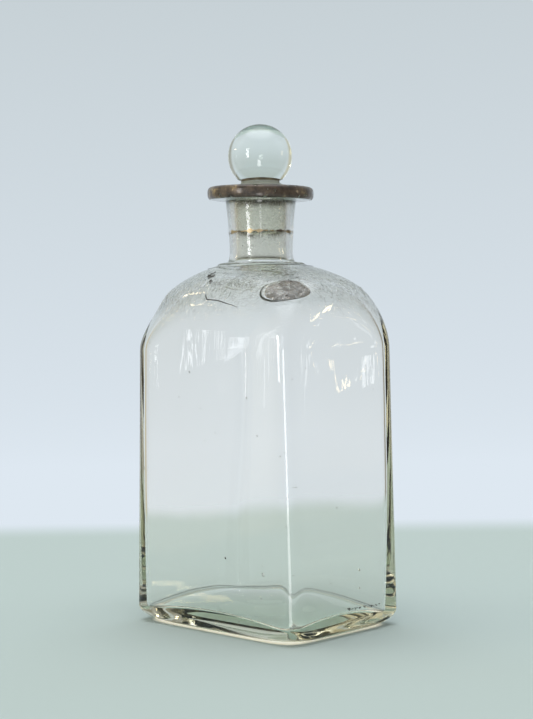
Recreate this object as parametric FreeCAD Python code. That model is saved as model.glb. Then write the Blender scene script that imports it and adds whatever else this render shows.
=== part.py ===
"""A hand-blown glass bottle of rectangular section, with a ground-in ball stopper and worn gilding.

The origin is at the middle of the base, on the surface the bottle stands on. +Z is up, and the flat
sides face along X and Y. Every length is in millimetres.
"""

import FreeCAD
import Part
import math
import os

V = FreeCAD.Vector

# Body: a rectangular section with rounded upright edges, a little narrower at the shoulder.
HALF_X = 43.5               # half the broad width, just above the heel
HALF_Y = 31.3               # half the narrow width, just above the heel
TAPER = 0.9                 # how much less each half is where the shoulder starts
EDGE_RADIUS = 6.6           # plan radius of the four upright edges
HEEL_RADIUS = 6.4           # rounding between the walls and the base
RING_CORNER = 19.0          # plan radius of the corners of the ring the bottle stands on
SHOULDER_START = 106.3      # height where the walls start to curve in
SHOULDER_TOP = 138.9        # height where the shoulder meets the neck
COLLAR_HALF = 17.5          # half width of the last, round, section of the shoulder
SHOULDER_RISE = 6.1         # the power of the shoulder's curve: high keeps the walls upright longest
ROUND_BY = 0.9              # share of the shoulder's height where its section has become round

# Glass thickness.
WALL = 3.3
SHOULDER_WALL = 3.4
FLOOR_CORNER = 4.6          # glass under the corners of the inside floor
FLOOR_RISE = 5.6            # how much higher the middle of the inside floor stands than its corners
PUSH_UP_X = 27.0            # half sizes of the hollow under the base, inside the resting ring
PUSH_UP_Y = 19.5
PUSH_UP_HEIGHT = 2.8
PONTIL_RADIUS = 7.5         # ring-shaped scar where the blower's rod was broken off
PONTIL_DEPTH = 0.8

# Neck and lip.
NECK_FOOT = 134.4           # height, inside the shoulder's glass, where the neck's solid starts
NECK_SKIRT = 19.6           # radius of the low step where the neck was set on the shoulder
SKIRT_EDGE = 137.3          # height of the skirt's widest place
SKIRT_WIDTH = 3.6           # how far in the skirt's top reaches
SKIRT_TOP = 139.1           # height of the skirt's top
NECK_BASE = 140.9           # height of the fillet at the foot of the neck
NECK_FILLET = 1.2           # how far the fillet stands out from the neck
NECK_WAIST = 12.2           # outside radius low on the neck
WAIST_HEIGHT = 145.0        # height of the narrowest place
NECK_LINE = 12.5            # outside radius where the gilded line lies
NECK_TOP = 13.6             # outside radius under the lip
LIP_FILLET_HEIGHT = 1.6     # height and reach of the fillet under the lip
LIP_FILLET_REACH = 1.0
LIP_BOTTOM = 164.3
LIP_TOP = 169.3
LIP_RADIUS = 20.6
LIP_EDGE = 2.2              # how far the lip's rounded rim reaches in from its widest radius
BORE_LOW = 9.3              # radius of the plain bore below the ground seat
BORE_FOOT = 132.5           # height where the bore has opened out into the body
BORE_FLARE = 2.2            # how much wider the bore is there
BORE_FLARE_HEIGHT = 5.0

# Ground joint: the seat in the neck and the shank of the stopper share this taper.
SEAT_TOP = 10.3             # radius at the lip's top face
SEAT_TAPER = 0.05           # change of radius for each millimetre of height, 1 in 10 on diameter
SEAT_LENGTH = 19.0
SHANK_LENGTH = 17.6         # how far the shank reaches below the lip's top face
SHANK_BEVEL = 0.5           # bevel round the tip of the shank
GROUND_GAP = 0.05           # radial clearance of the ground joint

# Stopper.
BALL_RADIUS = 12.5
BALL_CENTRE = 181.4
BALL_DROP = 22.0            # degrees below its equator where the ball starts to narrow to its neck
STOPPER_NECK = 7.4          # radius of the narrow part between ball and shank
STOPPER_WAIST = 172.0       # height of the narrowest place
BALL_FOOT_RISE = 2.6        # the flare from the narrowest place up to the ball: height and reach
BALL_FOOT_REACH = 2.2
SHANK_RISE = 0.5            # how far the shank stands up out of the lip
SHANK_ROUND = 0.5           # how far the rounding above the shank stands out from the neck
SHANK_ROUND_DROP = 1.2      # and how far below the narrowest place it lies

# Gilding: fired films, drawn thick enough to be solids.
FILM = 0.12
GILT_TOP_WIDTH = 3.2        # how far the film on the lip reaches in over its top face
LINE_HEIGHT = 151.6
LINE_WIDTH = 1.4


def rounded_rectangle(half_x, half_y, radius, z):
    """Wire of a rectangle with rounded corners, centred on the axis: four flats and four arcs."""
    flat_x = half_x - radius
    flat_y = half_y - radius
    bend = radius * math.sqrt(0.5)
    corners = [
        (V(half_x, -flat_y, z), V(half_x, flat_y, z), V(flat_x + bend, flat_y + bend, z)),
        (V(flat_x, half_y, z), V(-flat_x, half_y, z), V(-flat_x - bend, flat_y + bend, z)),
        (V(-half_x, flat_y, z), V(-half_x, -flat_y, z), V(-flat_x - bend, -flat_y - bend, z)),
        (V(-flat_x, -half_y, z), V(flat_x, -half_y, z), V(flat_x + bend, -flat_y - bend, z)),
    ]
    edges = []
    for side, (start, end, middle) in enumerate(corners):
        after = corners[(side + 1) % 4][0]
        edges.append(Part.LineSegment(start, end).toShape())
        edges.append(Part.Arc(end, middle, after).toShape())
    return Part.Wire(edges)


def smooth(value):
    """Ease from 0 to 1 without a corner at either end."""
    value = min(1.0, max(0.0, value))
    return value * value * (3.0 - 2.0 * value)


def wall_halves(share):
    """Half widths of the outside of the walls at a share of their height, heel to shoulder."""
    return HALF_X - TAPER * share, HALF_Y - TAPER * share


def shoulder_halves(share):
    """Half widths of the outside of the shoulder at a share of its height, from 0 to 1."""
    curve = 1.0 - share ** SHOULDER_RISE
    wide, narrow = wall_halves(1.0)
    return COLLAR_HALF + (wide - COLLAR_HALF) * curve, COLLAR_HALF + (narrow - COLLAR_HALF) * curve


def corner_radius(edge, half_y, share):
    """Plan radius of the upright edges: small on the walls, as large as fits at the neck."""
    return edge + (half_y - 0.3 - edge) * smooth(share / ROUND_BY)


HEEL_STEPS = (0.0, 0.35, 0.7, 1.0)
WALL_STEPS = (0.3, 0.65, 1.0)
SHOULDER_STEPS = (0.2, 0.38, 0.54, 0.68, 0.79, 0.88, 0.95, 1.0)


def outside_sections():
    """Sections of the outside of the body, from the base up to the neck."""
    wires = []
    for step in HEEL_STEPS:
        angle = step * math.pi / 2
        inset = HEEL_RADIUS * (1.0 - math.sin(angle))
        height = HEEL_RADIUS * (1.0 - math.cos(angle))
        radius = EDGE_RADIUS + (RING_CORNER - EDGE_RADIUS) * (1.0 - math.sin(angle))
        wires.append(rounded_rectangle(HALF_X - inset, HALF_Y - inset, radius, height))
    for share in WALL_STEPS:
        half_x, half_y = wall_halves(share)
        height = HEEL_RADIUS + (SHOULDER_START - HEEL_RADIUS) * share
        wires.append(rounded_rectangle(half_x, half_y, EDGE_RADIUS, height))
    for share in SHOULDER_STEPS:
        half_x, half_y = shoulder_halves(share)
        height = SHOULDER_START + (SHOULDER_TOP - SHOULDER_START) * share
        radius = corner_radius(EDGE_RADIUS, half_y, share)
        wires.append(rounded_rectangle(half_x, half_y, radius, height))
    return wires


def inside_sections():
    """Sections of the hollow, one wall thickness inside the outside ones."""
    wires = []
    edge = EDGE_RADIUS - 0.5 * WALL
    low = FLOOR_CORNER + HEEL_RADIUS
    for step in HEEL_STEPS:
        angle = step * math.pi / 2
        inset = HEEL_RADIUS * (1.0 - math.sin(angle)) + WALL
        height = FLOOR_CORNER + HEEL_RADIUS * (1.0 - math.cos(angle))
        radius = edge + (RING_CORNER - EDGE_RADIUS) * 0.6 * (1.0 - math.sin(angle))
        wires.append(rounded_rectangle(HALF_X - inset, HALF_Y - inset, radius, height))
    for share in WALL_STEPS:
        half_x, half_y = wall_halves(share)
        height = low + (SHOULDER_START - low) * share
        wires.append(rounded_rectangle(half_x - WALL, half_y - WALL, edge, height))
    for share in SHOULDER_STEPS:
        half_x, half_y = shoulder_halves(share)
        inset = WALL + (COLLAR_HALF - BORE_LOW - WALL - 0.5) * share ** SHOULDER_RISE
        height = SHOULDER_START + (SHOULDER_TOP - SHOULDER_WALL - SHOULDER_START) * share
        radius = corner_radius(edge, half_y - inset, share)
        wires.append(rounded_rectangle(half_x - inset, half_y - inset, radius, height))
    return wires


def turned(edges):
    """Solid of revolution about the Z axis of a closed outline given as edges in the XZ plane."""
    face = Part.Face(Part.Wire(edges))
    return face.revolve(V(0, 0, 0), V(0, 0, 1), 360)


def outline(points):
    """Closed outline of straight edges through points given as (radius, height)."""
    return [line(start, end) for start, end in zip(points, points[1:] + points[:1])]


def line(start, end):
    return Part.LineSegment(V(start[0], 0, start[1]), V(end[0], 0, end[1])).toShape()


def arc(start, middle, end):
    points = [V(radius, 0, height) for radius, height in (start, middle, end)]
    return Part.Arc(*points).toShape()


def spline(points):
    curve = Part.BSplineCurve()
    curve.interpolate([V(radius, 0, height) for radius, height in points])
    return curve.toShape()


def lip_rim():
    """Three points of the lip's rounded rim, from its under face round to its top face."""
    low = (LIP_RADIUS - LIP_EDGE, LIP_BOTTOM)
    side = (LIP_RADIUS, 0.5 * (LIP_BOTTOM + LIP_TOP))
    high = (LIP_RADIUS - LIP_EDGE, LIP_TOP)
    return low, side, high


def neck_and_lip():
    """Outside of the neck, from inside the shoulder up to the top of the lip, as a solid."""
    low, side, high = lip_rim()
    skirt = (NECK_SKIRT, SKIRT_EDGE)
    profile = [
        skirt,
        (NECK_SKIRT - SKIRT_WIDTH, SKIRT_TOP),
        (NECK_WAIST + NECK_FILLET, NECK_BASE),
        (NECK_WAIST, WAIST_HEIGHT),
        (NECK_LINE, LINE_HEIGHT),
        (NECK_TOP, LIP_BOTTOM - LIP_FILLET_HEIGHT),
        (NECK_TOP + LIP_FILLET_REACH, LIP_BOTTOM),
    ]
    edges = [
        line((0, NECK_FOOT), (NECK_SKIRT, NECK_FOOT)),
        line((NECK_SKIRT, NECK_FOOT), skirt),
        spline(profile),
        line(profile[-1], low),
        arc(low, side, high),
        line(high, (0, LIP_TOP)),
        line((0, LIP_TOP), (0, NECK_FOOT)),
    ]
    return turned(edges)


def seat_radius(height):
    """Radius of the ground seat at a height."""
    return SEAT_TOP - SEAT_TAPER * (LIP_TOP - height)


def bore():
    """The hole down the neck: the ground seat, then the plain bore into the body."""
    seat_foot = LIP_TOP - SEAT_LENGTH
    above = LIP_TOP + 1.0
    points = [
        (0, BORE_FOOT),
        (BORE_LOW + BORE_FLARE, BORE_FOOT),
        (BORE_LOW, BORE_FOOT + BORE_FLARE_HEIGHT),
        (BORE_LOW, seat_foot - 0.3),
        (seat_radius(seat_foot), seat_foot),
        (seat_radius(above), above),
        (0, above),
    ]
    return turned(outline(points))


def mound(half_x, half_y, height, z):
    """Cap of a ball on a circle at z that rises by height, stretched to an oval of half sizes."""
    ball = (half_y ** 2 + height ** 2) / (2 * height)
    whole = Part.makeSphere(ball, V(0, 0, z + height - ball))
    box = Part.makeBox(4 * half_y, 4 * half_y, height + 1, V(-2 * half_y, -2 * half_y, z))
    stretch = FreeCAD.Matrix()
    stretch.A11 = half_x / half_y
    return whole.common(box).transformGeometry(stretch)


def bottle():
    """The whole bottle, one piece of glass."""
    body = Part.makeLoft(outside_sections(), True, False)
    hollow = Part.makeLoft(inside_sections(), True, False)
    reach_x = math.sqrt(2) * (HALF_X - WALL)
    reach_y = math.sqrt(2) * (HALF_Y - WALL)
    floor = mound(reach_x, reach_y, FLOOR_RISE, FLOOR_CORNER)
    glass = body.fuse(neck_and_lip())
    glass = glass.cut(hollow.cut(floor))
    glass = glass.cut(bore())
    push_up = mound(PUSH_UP_X, PUSH_UP_Y, PUSH_UP_HEIGHT, 0.0)
    scar = Part.makeTorus(PONTIL_RADIUS, PONTIL_DEPTH, V(0, 0, PUSH_UP_HEIGHT - 0.5))
    return glass.cut(push_up).cut(scar).Solids[0]


def stopper():
    """The stopper, one piece of solid glass: ground shank, narrow neck and ball."""
    tip = LIP_TOP - SHANK_LENGTH
    shank_top = LIP_TOP + SHANK_RISE
    tip_radius = seat_radius(tip) - GROUND_GAP
    shank_end = (tip_radius - SHANK_BEVEL, tip)
    shank_low = (seat_radius(tip + SHANK_BEVEL) - GROUND_GAP, tip + SHANK_BEVEL)
    shank_high = (seat_radius(shank_top) - GROUND_GAP, shank_top)
    drop = math.radians(BALL_DROP)
    leave = (BALL_RADIUS * math.cos(drop), BALL_CENTRE - BALL_RADIUS * math.sin(drop))
    equator = (BALL_RADIUS, BALL_CENTRE)
    top = (0, BALL_CENTRE + BALL_RADIUS)
    neck = [
        shank_high,
        (STOPPER_NECK + SHANK_ROUND, STOPPER_WAIST - SHANK_ROUND_DROP),
        (STOPPER_NECK, STOPPER_WAIST),
        (STOPPER_NECK + BALL_FOOT_REACH, STOPPER_WAIST + BALL_FOOT_RISE),
        leave,
    ]
    edges = [
        line((0, tip), shank_end),
        line(shank_end, shank_low),
        line(shank_low, shank_high),
        spline(neck),
        arc(leave, equator, top),
        line(top, (0, tip)),
    ]
    return turned(edges)


def lip_gilding():
    """Gold film over the rounded rim of the lip and a narrow part of its top face."""
    low, side, high = lip_rim()
    inner = high[0] - GILT_TOP_WIDTH
    film_low = (low[0], low[1] - FILM)
    film_side = (side[0] + FILM, side[1])
    film_high = (high[0], high[1] + FILM)
    edges = [
        arc(low, side, high),
        line(high, (inner, LIP_TOP)),
        line((inner, LIP_TOP), (inner, LIP_TOP + FILM)),
        line((inner, LIP_TOP + FILM), film_high),
        arc(film_high, film_side, film_low),
        line(film_low, low),
    ]
    return turned(edges)


def neck_gilding(glass):
    """Gold line round the neck, laid on the outside of the glass."""
    low = LINE_HEIGHT - 0.5 * LINE_WIDTH
    high = LINE_HEIGHT + 0.5 * LINE_WIDTH
    inner = NECK_WAIST - 0.5
    outer = NECK_LINE + FILM
    spread = 0.05
    ring = turned(outline([(inner, low), (outer - spread, low), (outer + spread, high), (inner, high)]))
    return ring.cut(glass).Solids[0]


def main():
    os.makedirs("parts", exist_ok=True)
    glass = bottle()
    nodes = {
        "bottle": glass,
        "stopper": stopper(),
        "lip_gilding": lip_gilding(),
        "neck_gilding": neck_gilding(glass),
    }
    for name, shape in nodes.items():
        print(name, shape.ShapeType, shape.isValid(), round(shape.Volume, 1), "cubic mm")
        shape.exportStep(f"parts/{name}.step")


main()
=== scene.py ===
"""Blown-glass bottle with a ball stopper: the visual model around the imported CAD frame, in metres."""
import bpy
import math
import numpy as np
import random
from mathutils import Matrix, Vector, noise
from mathutils.bvhtree import BVHTree


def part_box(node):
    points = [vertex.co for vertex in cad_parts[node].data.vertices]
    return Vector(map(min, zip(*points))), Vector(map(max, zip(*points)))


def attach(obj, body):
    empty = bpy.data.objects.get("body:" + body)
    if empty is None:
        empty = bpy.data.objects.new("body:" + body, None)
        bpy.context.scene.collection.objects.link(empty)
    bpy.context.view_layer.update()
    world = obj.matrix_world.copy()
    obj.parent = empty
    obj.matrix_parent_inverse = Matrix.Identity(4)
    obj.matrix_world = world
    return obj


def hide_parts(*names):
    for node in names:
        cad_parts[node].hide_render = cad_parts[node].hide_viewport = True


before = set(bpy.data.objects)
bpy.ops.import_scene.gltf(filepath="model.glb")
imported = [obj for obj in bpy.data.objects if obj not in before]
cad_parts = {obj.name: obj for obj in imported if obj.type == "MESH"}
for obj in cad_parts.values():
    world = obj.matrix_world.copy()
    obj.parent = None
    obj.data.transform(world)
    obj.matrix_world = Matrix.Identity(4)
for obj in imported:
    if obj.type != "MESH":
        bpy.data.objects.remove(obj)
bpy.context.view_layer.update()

MM = 0.001

# ---------------------------------------------------------------------------------------------
# Sizes, in millimetres. The heights of the lip, the stopper and the gilded line come from the frame.
# ---------------------------------------------------------------------------------------------
_, bottle_high = (corner / MM for corner in map(Vector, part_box("bottle")))
stopper_low, stopper_high = (corner / MM for corner in map(Vector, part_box("stopper")))
line_low, line_high = (corner / MM for corner in map(Vector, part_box("neck_gilding")))
_, rim_high = (corner / MM for corner in map(Vector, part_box("lip_gilding")))

FILM = 0.12                      # thickness of the gilded film, as in the frame
LIP_TOP = bottle_high.z
LIP_RADIUS = rim_high.x - FILM
LIP_BOTTOM = LIP_TOP - 5.0
LINE_HEIGHT = 0.5 * (line_low.z + line_high.z)
BALL_TOP = stopper_high.z
SHANK_TIP = stopper_low.z

HALF_X = 43.45
HALF_Y = 31.25
TAPER = 0.9
EDGE_RADIUS = 6.6
HEEL = 6.4
INNER_HEEL = 2.6
RING_CORNER = 19.0
SHOULDER_START = 106.3
SHOULDER_TOP = 138.9
COLLAR = 17.5
SHOULDER_POWER = 6.1
ROUND_BY = 0.9
PUSH_UP = (29.0, 20.5, 2.4)      # half sizes and height of the hollow under the base

WALL_HIGH = 3.2                  # glass thickness at the shoulder
WALL_LOW = 5.9                   # glass thickness just above the heel
UNEVEN_WALL = 0.75               # how far the hollow sits off the middle, just above the heel
FLOOR_CORNER = 3.9
FLOOR_RISE = 6.0
DOME_FADE = INNER_HEEL * 2.4     # height above the floor's corner at which the floor's rise has gone
BORE = 9.3
SEAT_TOP = 10.3
SEAT_TAPER = 0.05
SEAT_FOOT = LIP_TOP - 19.0
GROUND_FOOT = 140.2              # the grinding in the neck fades out by this height

AROUND = 448                     # points round every ring of the bottle
BASE_ROWS = 50                   # rings of the under face, counted from its middle
LIP_FACE_ROWS = 10               # rings of the lip's top face
MOUTH_ROWS = 2                   # rings that round the mouth over into the bore
MEETING_ROW = 54                 # ring where the inside wall meets the floor, counted from the floor's middle
RIM_MIDDLE = 18.4
RIM_SQUARENESS = 2.7

BALL_RADIUS = 12.5
BALL_DROP = math.radians(46.0)   # the ball is round down to this far below its middle
BALL_CENTRE = BALL_TOP - BALL_RADIUS
WAIST = 7.4                      # radius of the narrow place under the ball
WAIST_HEIGHT = BALL_CENTRE - 9.4
STOPPER_GAP = 0.05
STOPPER_AROUND = 128
FOOT_ROWS = 9                    # rings of the stopper's clear under face


# ---------------------------------------------------------------------------------------------
# Mesh helpers
# ---------------------------------------------------------------------------------------------
def smooth(value):
    value = np.clip(value, 0.0, 1.0)
    return value * value * (3.0 - 2.0 * value)


def exponent(radius, half):
    """Superellipse power whose corner is as far cut as a plan radius on a square of that half."""
    return math.log(0.5) / math.log(1.0 - 0.2929 * min(1.0, radius / half))


def angles_for(half_x, half_y, power, count):
    """Angles round the axis, closer together where the outline bends."""
    dense = np.linspace(0.0, 2.0 * math.pi, 7201)
    rho = polar(dense, half_x, half_y, power)
    x, y = rho * np.cos(dense), rho * np.sin(dense)
    heading = np.unwrap(np.arctan2(np.gradient(y), np.gradient(x)))
    length = np.concatenate([[0.0], np.cumsum(np.hypot(np.diff(x), np.diff(y)))])
    weight = length / length[-1] + 0.9 * (heading - heading[0]) / (heading[-1] - heading[0])
    steps = np.linspace(0.0, weight[-1], count, endpoint=False)
    return np.interp(steps, weight, dense)


def polar(theta, half_x, half_y, power):
    """Distance from the axis to a superellipse in each direction."""
    return (np.abs(np.cos(theta) / half_x) ** power
            + np.abs(np.sin(theta) / half_y) ** power) ** (-1.0 / power)


def resample(points, step):
    """Even steps along a curve through points, an array with one row of values for each point."""
    points = np.asarray(points, dtype=float)
    run = np.concatenate([[0.0], np.cumsum(np.linalg.norm(np.diff(points[:, :2], axis=0), axis=1))])
    count = max(2, int(run[-1] / step) + 1)
    places = np.linspace(0.0, run[-1], count)
    return np.stack([np.interp(places, run, column) for column in points.T], axis=1)


def curve_through(points, per_span=12):
    """Smooth curve (Catmull-Rom) through a few (radius, height) points."""
    points = [np.array(p, dtype=float) for p in points]
    ends = [2 * points[0] - points[1]] + points + [2 * points[-1] - points[-2]]
    out = []
    for p0, p1, p2, p3 in zip(ends, ends[1:], ends[2:], ends[3:]):
        for k in range(per_span):
            t = k / per_span
            out.append(0.5 * (2 * p1 + (p2 - p0) * t + (2 * p0 - 5 * p1 + 4 * p2 - p3) * t * t
                              + (3 * p1 - p0 - 3 * p2 + p3) * t ** 3))
    out.append(points[-1])
    return np.array(out)


def turns(count):
    """Even steps round a full turn."""
    return [2 * math.pi * k / count for k in range(count)]


def ring_point(r, z, turn):
    return (r * math.cos(turn), r * math.sin(turn), z)


def make_object(name, vertices, faces, smooth_shading=True):
    mesh = bpy.data.meshes.new(name)
    mesh.from_pydata(vertices, [], faces)
    mesh.validate()
    if smooth_shading:
        mesh.polygons.foreach_set("use_smooth", [True] * len(mesh.polygons))
    mesh.update()
    obj = bpy.data.objects.new(name, mesh)
    bpy.context.scene.collection.objects.link(obj)
    return obj


def ring_faces(rings, around, start=0):
    """Faces between neighbouring rings of vertices."""
    faces = []
    for base in range(start, start + (rings - 1) * around, around):
        for k in range(around):
            after = (k + 1) % around
            faces.append((base + k, base + after, base + around + after, base + around + k))
    return faces


def rings_to_mesh(rings, closed=True):
    """Vertices and faces of a surface through rings, (rows, around, 3). Closed, a point caps each end."""
    rows, around, _ = rings.shape
    vertices = rings.reshape(-1, 3).tolist()
    faces = ring_faces(rows, around)
    if closed:
        vertices += [rings[0].mean(axis=0).tolist(), rings[-1].mean(axis=0).tolist()]
        tip, last = rows * around, (rows - 1) * around
        faces += [(tip, (k + 1) % around, k) for k in range(around)]
        faces += [(tip + 1, last + k, last + (k + 1) % around) for k in range(around)]
    return vertices, faces


# ---------------------------------------------------------------------------------------------
# Bottle
# ---------------------------------------------------------------------------------------------
def wall_halves(share):
    return HALF_X - TAPER * share, HALF_Y - TAPER * share


# A ring of the bottle is its half sizes, superellipse power, height and how wavy the glass is.
def flat_row(half_x, half_y, radius, z, wave):
    """A ring with four faces, and corners of a plan radius."""
    return half_x, half_y, exponent(radius, 0.5 * (half_x + half_y)), z, wave


def round_rows(points, wave):
    """Round rings through (radius, height) points."""
    return [(r, r, 2.0, z, wave) for r, z in points]


def outer_rows():
    rows = []
    # The hollow under the base, from its middle out to the resting ring.
    for s in np.linspace(0.02, 1.0, 40):
        ring = 0.12 * math.exp(-((s * PUSH_UP[1] - 7.5) / 1.6) ** 2)
        rows.append((s * PUSH_UP[0], s * PUSH_UP[1], 2.0, PUSH_UP[2] * (1 - s * s) ** 2 + ring, 0.0))
    # The ring it stands on.
    ring_x, ring_y = HALF_X - HEEL, HALF_Y - HEEL
    ring_power = exponent(RING_CORNER, 0.5 * (ring_x + ring_y))
    for s in np.linspace(0.1, 1.0, 10):
        power = 2.0 + (ring_power - 2.0) * s
        rows.append((PUSH_UP[0] + (ring_x - PUSH_UP[0]) * s, PUSH_UP[1] + (ring_y - PUSH_UP[1]) * s,
                     power, 0.0, 0.0))
    # The heel.
    for angle in np.linspace(0.0, math.pi / 2, 22)[1:]:
        inset = HEEL * (1 - math.sin(angle))
        radius = EDGE_RADIUS + (RING_CORNER - EDGE_RADIUS) * (1 - math.sin(angle))
        rows.append(flat_row(HALF_X - inset, HALF_Y - inset, radius, HEEL * (1 - math.cos(angle)),
                             smooth(angle / 1.5)))
    # The walls.
    for share in np.linspace(0.0, 1.0, 70)[1:]:
        rows.append(flat_row(*wall_halves(share), EDGE_RADIUS, HEEL + (SHOULDER_START - HEEL) * share, 1.0))
    # The shoulder.
    rows += shoulder_rows(0.0, SHOULDER_TOP, EDGE_RADIUS, COLLAR)
    # The neck, up to the underside of the lip.
    neck = [(COLLAR, SHOULDER_TOP), (17.25, 138.85), (16.95, 139.3), (16.5, 139.65), (15.6, 139.6),
            (14.0, 139.8), (12.9, 140.7), (12.35, 142.6), (12.25, 144.8),
            (12.3, 148.0), (12.5, LINE_HEIGHT), (12.8, 156.2), (13.2, 160.2), (13.6, LIP_BOTTOM - 0.9),
            (14.1, LIP_BOTTOM - 0.15), (15.2, LIP_BOTTOM + 0.03), (18.4, LIP_BOTTOM)]
    rows += round_rows(resample(curve_through(neck), 0.3)[1:], 0.45)
    # The rounded rim and the top face of the lip.
    rows += round_rows(rim_profile(0.0)[1:], 0.5)
    rows += round_rows([(r, LIP_TOP - 0.12 * (RIM_MIDDLE - r) / 8.0)
                        for r in np.linspace(RIM_MIDDLE, SEAT_TOP + 0.4, LIP_FACE_ROWS)[1:]], 0.4)
    return rows


def rim_profile(proud):
    """(radius, height) points up the rounded rim of the lip, proud of the glass by a film's thickness."""
    reach, rise = LIP_RADIUS - RIM_MIDDLE + proud, 0.5 * (LIP_TOP - LIP_BOTTOM) + proud
    out = []
    for angle in np.linspace(-math.pi / 2, math.pi / 2, 24):
        across, up = math.cos(angle), math.sin(angle)
        r = RIM_MIDDLE + reach * abs(across) ** (2 / RIM_SQUARENESS)
        z = 0.5 * (LIP_TOP + LIP_BOTTOM) + rise * math.copysign(abs(up) ** (2 / RIM_SQUARENESS), up)
        out.append((r, z))
    return out


# The maker's hand: the body turns slightly on its way up, the shoulder leans, the lip dips to one side.
LEAN_WAY = (0.711, 0.703)
TWIST_LOW, TWIST_HIGH = math.radians(0.7), math.radians(-2.1)
SHOULDER_LEAN = 1.0
AIR_GAP = 0.06                   # the worn base touches the table here and there only
LIP_DIP = (-0.016, -0.048)       # how far the lip sinks along and across the way the shoulder leans


def by_hand(points):
    """Moves bottle points, in mm, off their true places by what a hand-blown bottle is out."""
    x, y, z = points[..., 0], points[..., 1], points[..., 2]
    turn = TWIST_LOW + (TWIST_HIGH - TWIST_LOW) * np.clip(z / 110.0, 0.0, 1.0)
    cos, sin = np.cos(turn), np.sin(turn)
    x, y = x * cos - y * sin, x * sin + y * cos
    share = np.clip((z - SHOULDER_START) / (SHOULDER_TOP - SHOULDER_START), 0.0, 1.0)
    lean = SHOULDER_LEAN * np.sin(math.pi * share) ** 2
    along, across = x * LEAN_WAY[0] + y * LEAN_WAY[1], x * LEAN_WAY[1] - y * LEAN_WAY[0]
    dip = -(LIP_DIP[0] * along + LIP_DIP[1] * across) * smooth((z - 156.0) / 8.0)
    z = np.maximum(z - dip, AIR_GAP)
    return np.stack([x + lean * LEAN_WAY[0], y + lean * LEAN_WAY[1], z], axis=-1)


def shoulder_rows(inset, top, edge, collar, reverse=False):
    """Rings of the shoulder, outside or (with an inset) inside, in even steps along its curve."""
    table = []
    for share in np.linspace(0.0, 1.0, 241):
        fall = share ** SHOULDER_POWER
        beyond = share * (top - SHOULDER_START) / (SHOULDER_START - HEEL)
        half_x, half_y = (half - inset for half in wall_halves(1.0 + beyond))
        half_x += (collar - half_x) * fall
        half_y += (collar - half_y) * fall
        z = SHOULDER_START + (top - SHOULDER_START) * share
        radius = edge + (half_y - 0.2 - edge) * float(smooth(share / ROUND_BY))
        power = exponent(radius, 0.5 * (half_x + half_y))
        power = 2.0 + (power - 2.0) * (1.0 - float(smooth((share - 0.7) / 0.3)))
        table.append((half_x, z, half_y, power, 1.0 - 0.5 * share ** 3))
    rows = [(x, y, power, z, wave) for x, z, y, power, wave in resample(table, 0.9)[1:]]
    return rows[::-1] if reverse else rows


def inner_rows():
    """Rings of the inside, from the mouth down to the middle of the floor."""
    rows = round_rows([(SEAT_TOP + 0.1, LIP_TOP - 0.2), (SEAT_TOP - 0.02, LIP_TOP - 0.6)], 0.0)
    rows += round_rows([(SEAT_TOP - SEAT_TAPER * (LIP_TOP - z), z)
                        for z in np.linspace(LIP_TOP - 1.2, SEAT_FOOT, 30)], 0.0)
    collar = COLLAR - 3.0
    top = SHOULDER_TOP - 3.2
    throat = [(BORE, SEAT_FOOT - 0.7), (BORE, SEAT_FOOT - 4.0), (BORE + 0.2, top + 6.6),
              (BORE + 1.0, top + 3.2), (BORE + 2.8, top + 1.1), (collar, top)]
    rows += round_rows(resample(curve_through(throat), 0.6), 0.5)
    rows += shoulder_rows(WALL_HIGH, top, EDGE_RADIUS - 0.8 * WALL_HIGH, collar, reverse=True)
    low = FLOOR_CORNER + INNER_HEEL
    for share in np.linspace(1.0, 0.0, 70):
        half_x, half_y = wall_halves(share)
        wall = WALL_HIGH + (WALL_LOW - WALL_HIGH) * (1 - share) ** 2
        rows.append(flat_row(half_x - wall, half_y - wall, EDGE_RADIUS - 0.8 * wall,
                             low + (SHOULDER_START - low) * share, 1.0))
    for angle in np.linspace(math.pi / 2, 0.0, 22)[1:]:
        inset = WALL_LOW + INNER_HEEL * (1 - math.sin(angle))
        radius = EDGE_RADIUS - 0.8 * WALL_LOW + 5.0 * (1 - math.sin(angle))
        z = FLOOR_CORNER + INNER_HEEL * (1 - math.cos(angle))
        rows.append(flat_row(HALF_X - inset, HALF_Y - inset, radius, z, 0.8))
    last_x, last_y, last_power = rows[-1][:3]
    for s in np.linspace(0.97, 0.02, 40):
        rows.append((last_x * s, last_y * s, 2.0 + (last_power - 2.0) * s ** 2, FLOOR_CORNER, 0.8))
    return rows


def floor_lift(x, y, z):
    """Height that the push-up adds to the inside floor and the inside heel."""
    reach_x, reach_y = math.sqrt(2) * (HALF_X - WALL_LOW), math.sqrt(2) * (HALF_Y - WALL_LOW)
    dome = FLOOR_RISE * np.clip(1 - (x / reach_x) ** 2 - (y / reach_y) ** 2, 0.0, 1.0)
    return dome * (1.0 - smooth((z - FLOOR_CORNER) / DOME_FADE))


def wobble(points, size, scale, seed, drawn=1.0):
    """Slow random offset in millimetres at each point, drawn out up the height, the same on every run."""
    place = Vector((seed * 17.3, seed * 5.1, seed * 9.7))
    scaled = points.reshape(-1, 3) / np.array([scale, scale, scale * drawn])
    values = [noise.noise(Vector(p) + place) for p in scaled]
    return size * np.array(values).reshape(points.shape[:-1])


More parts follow.
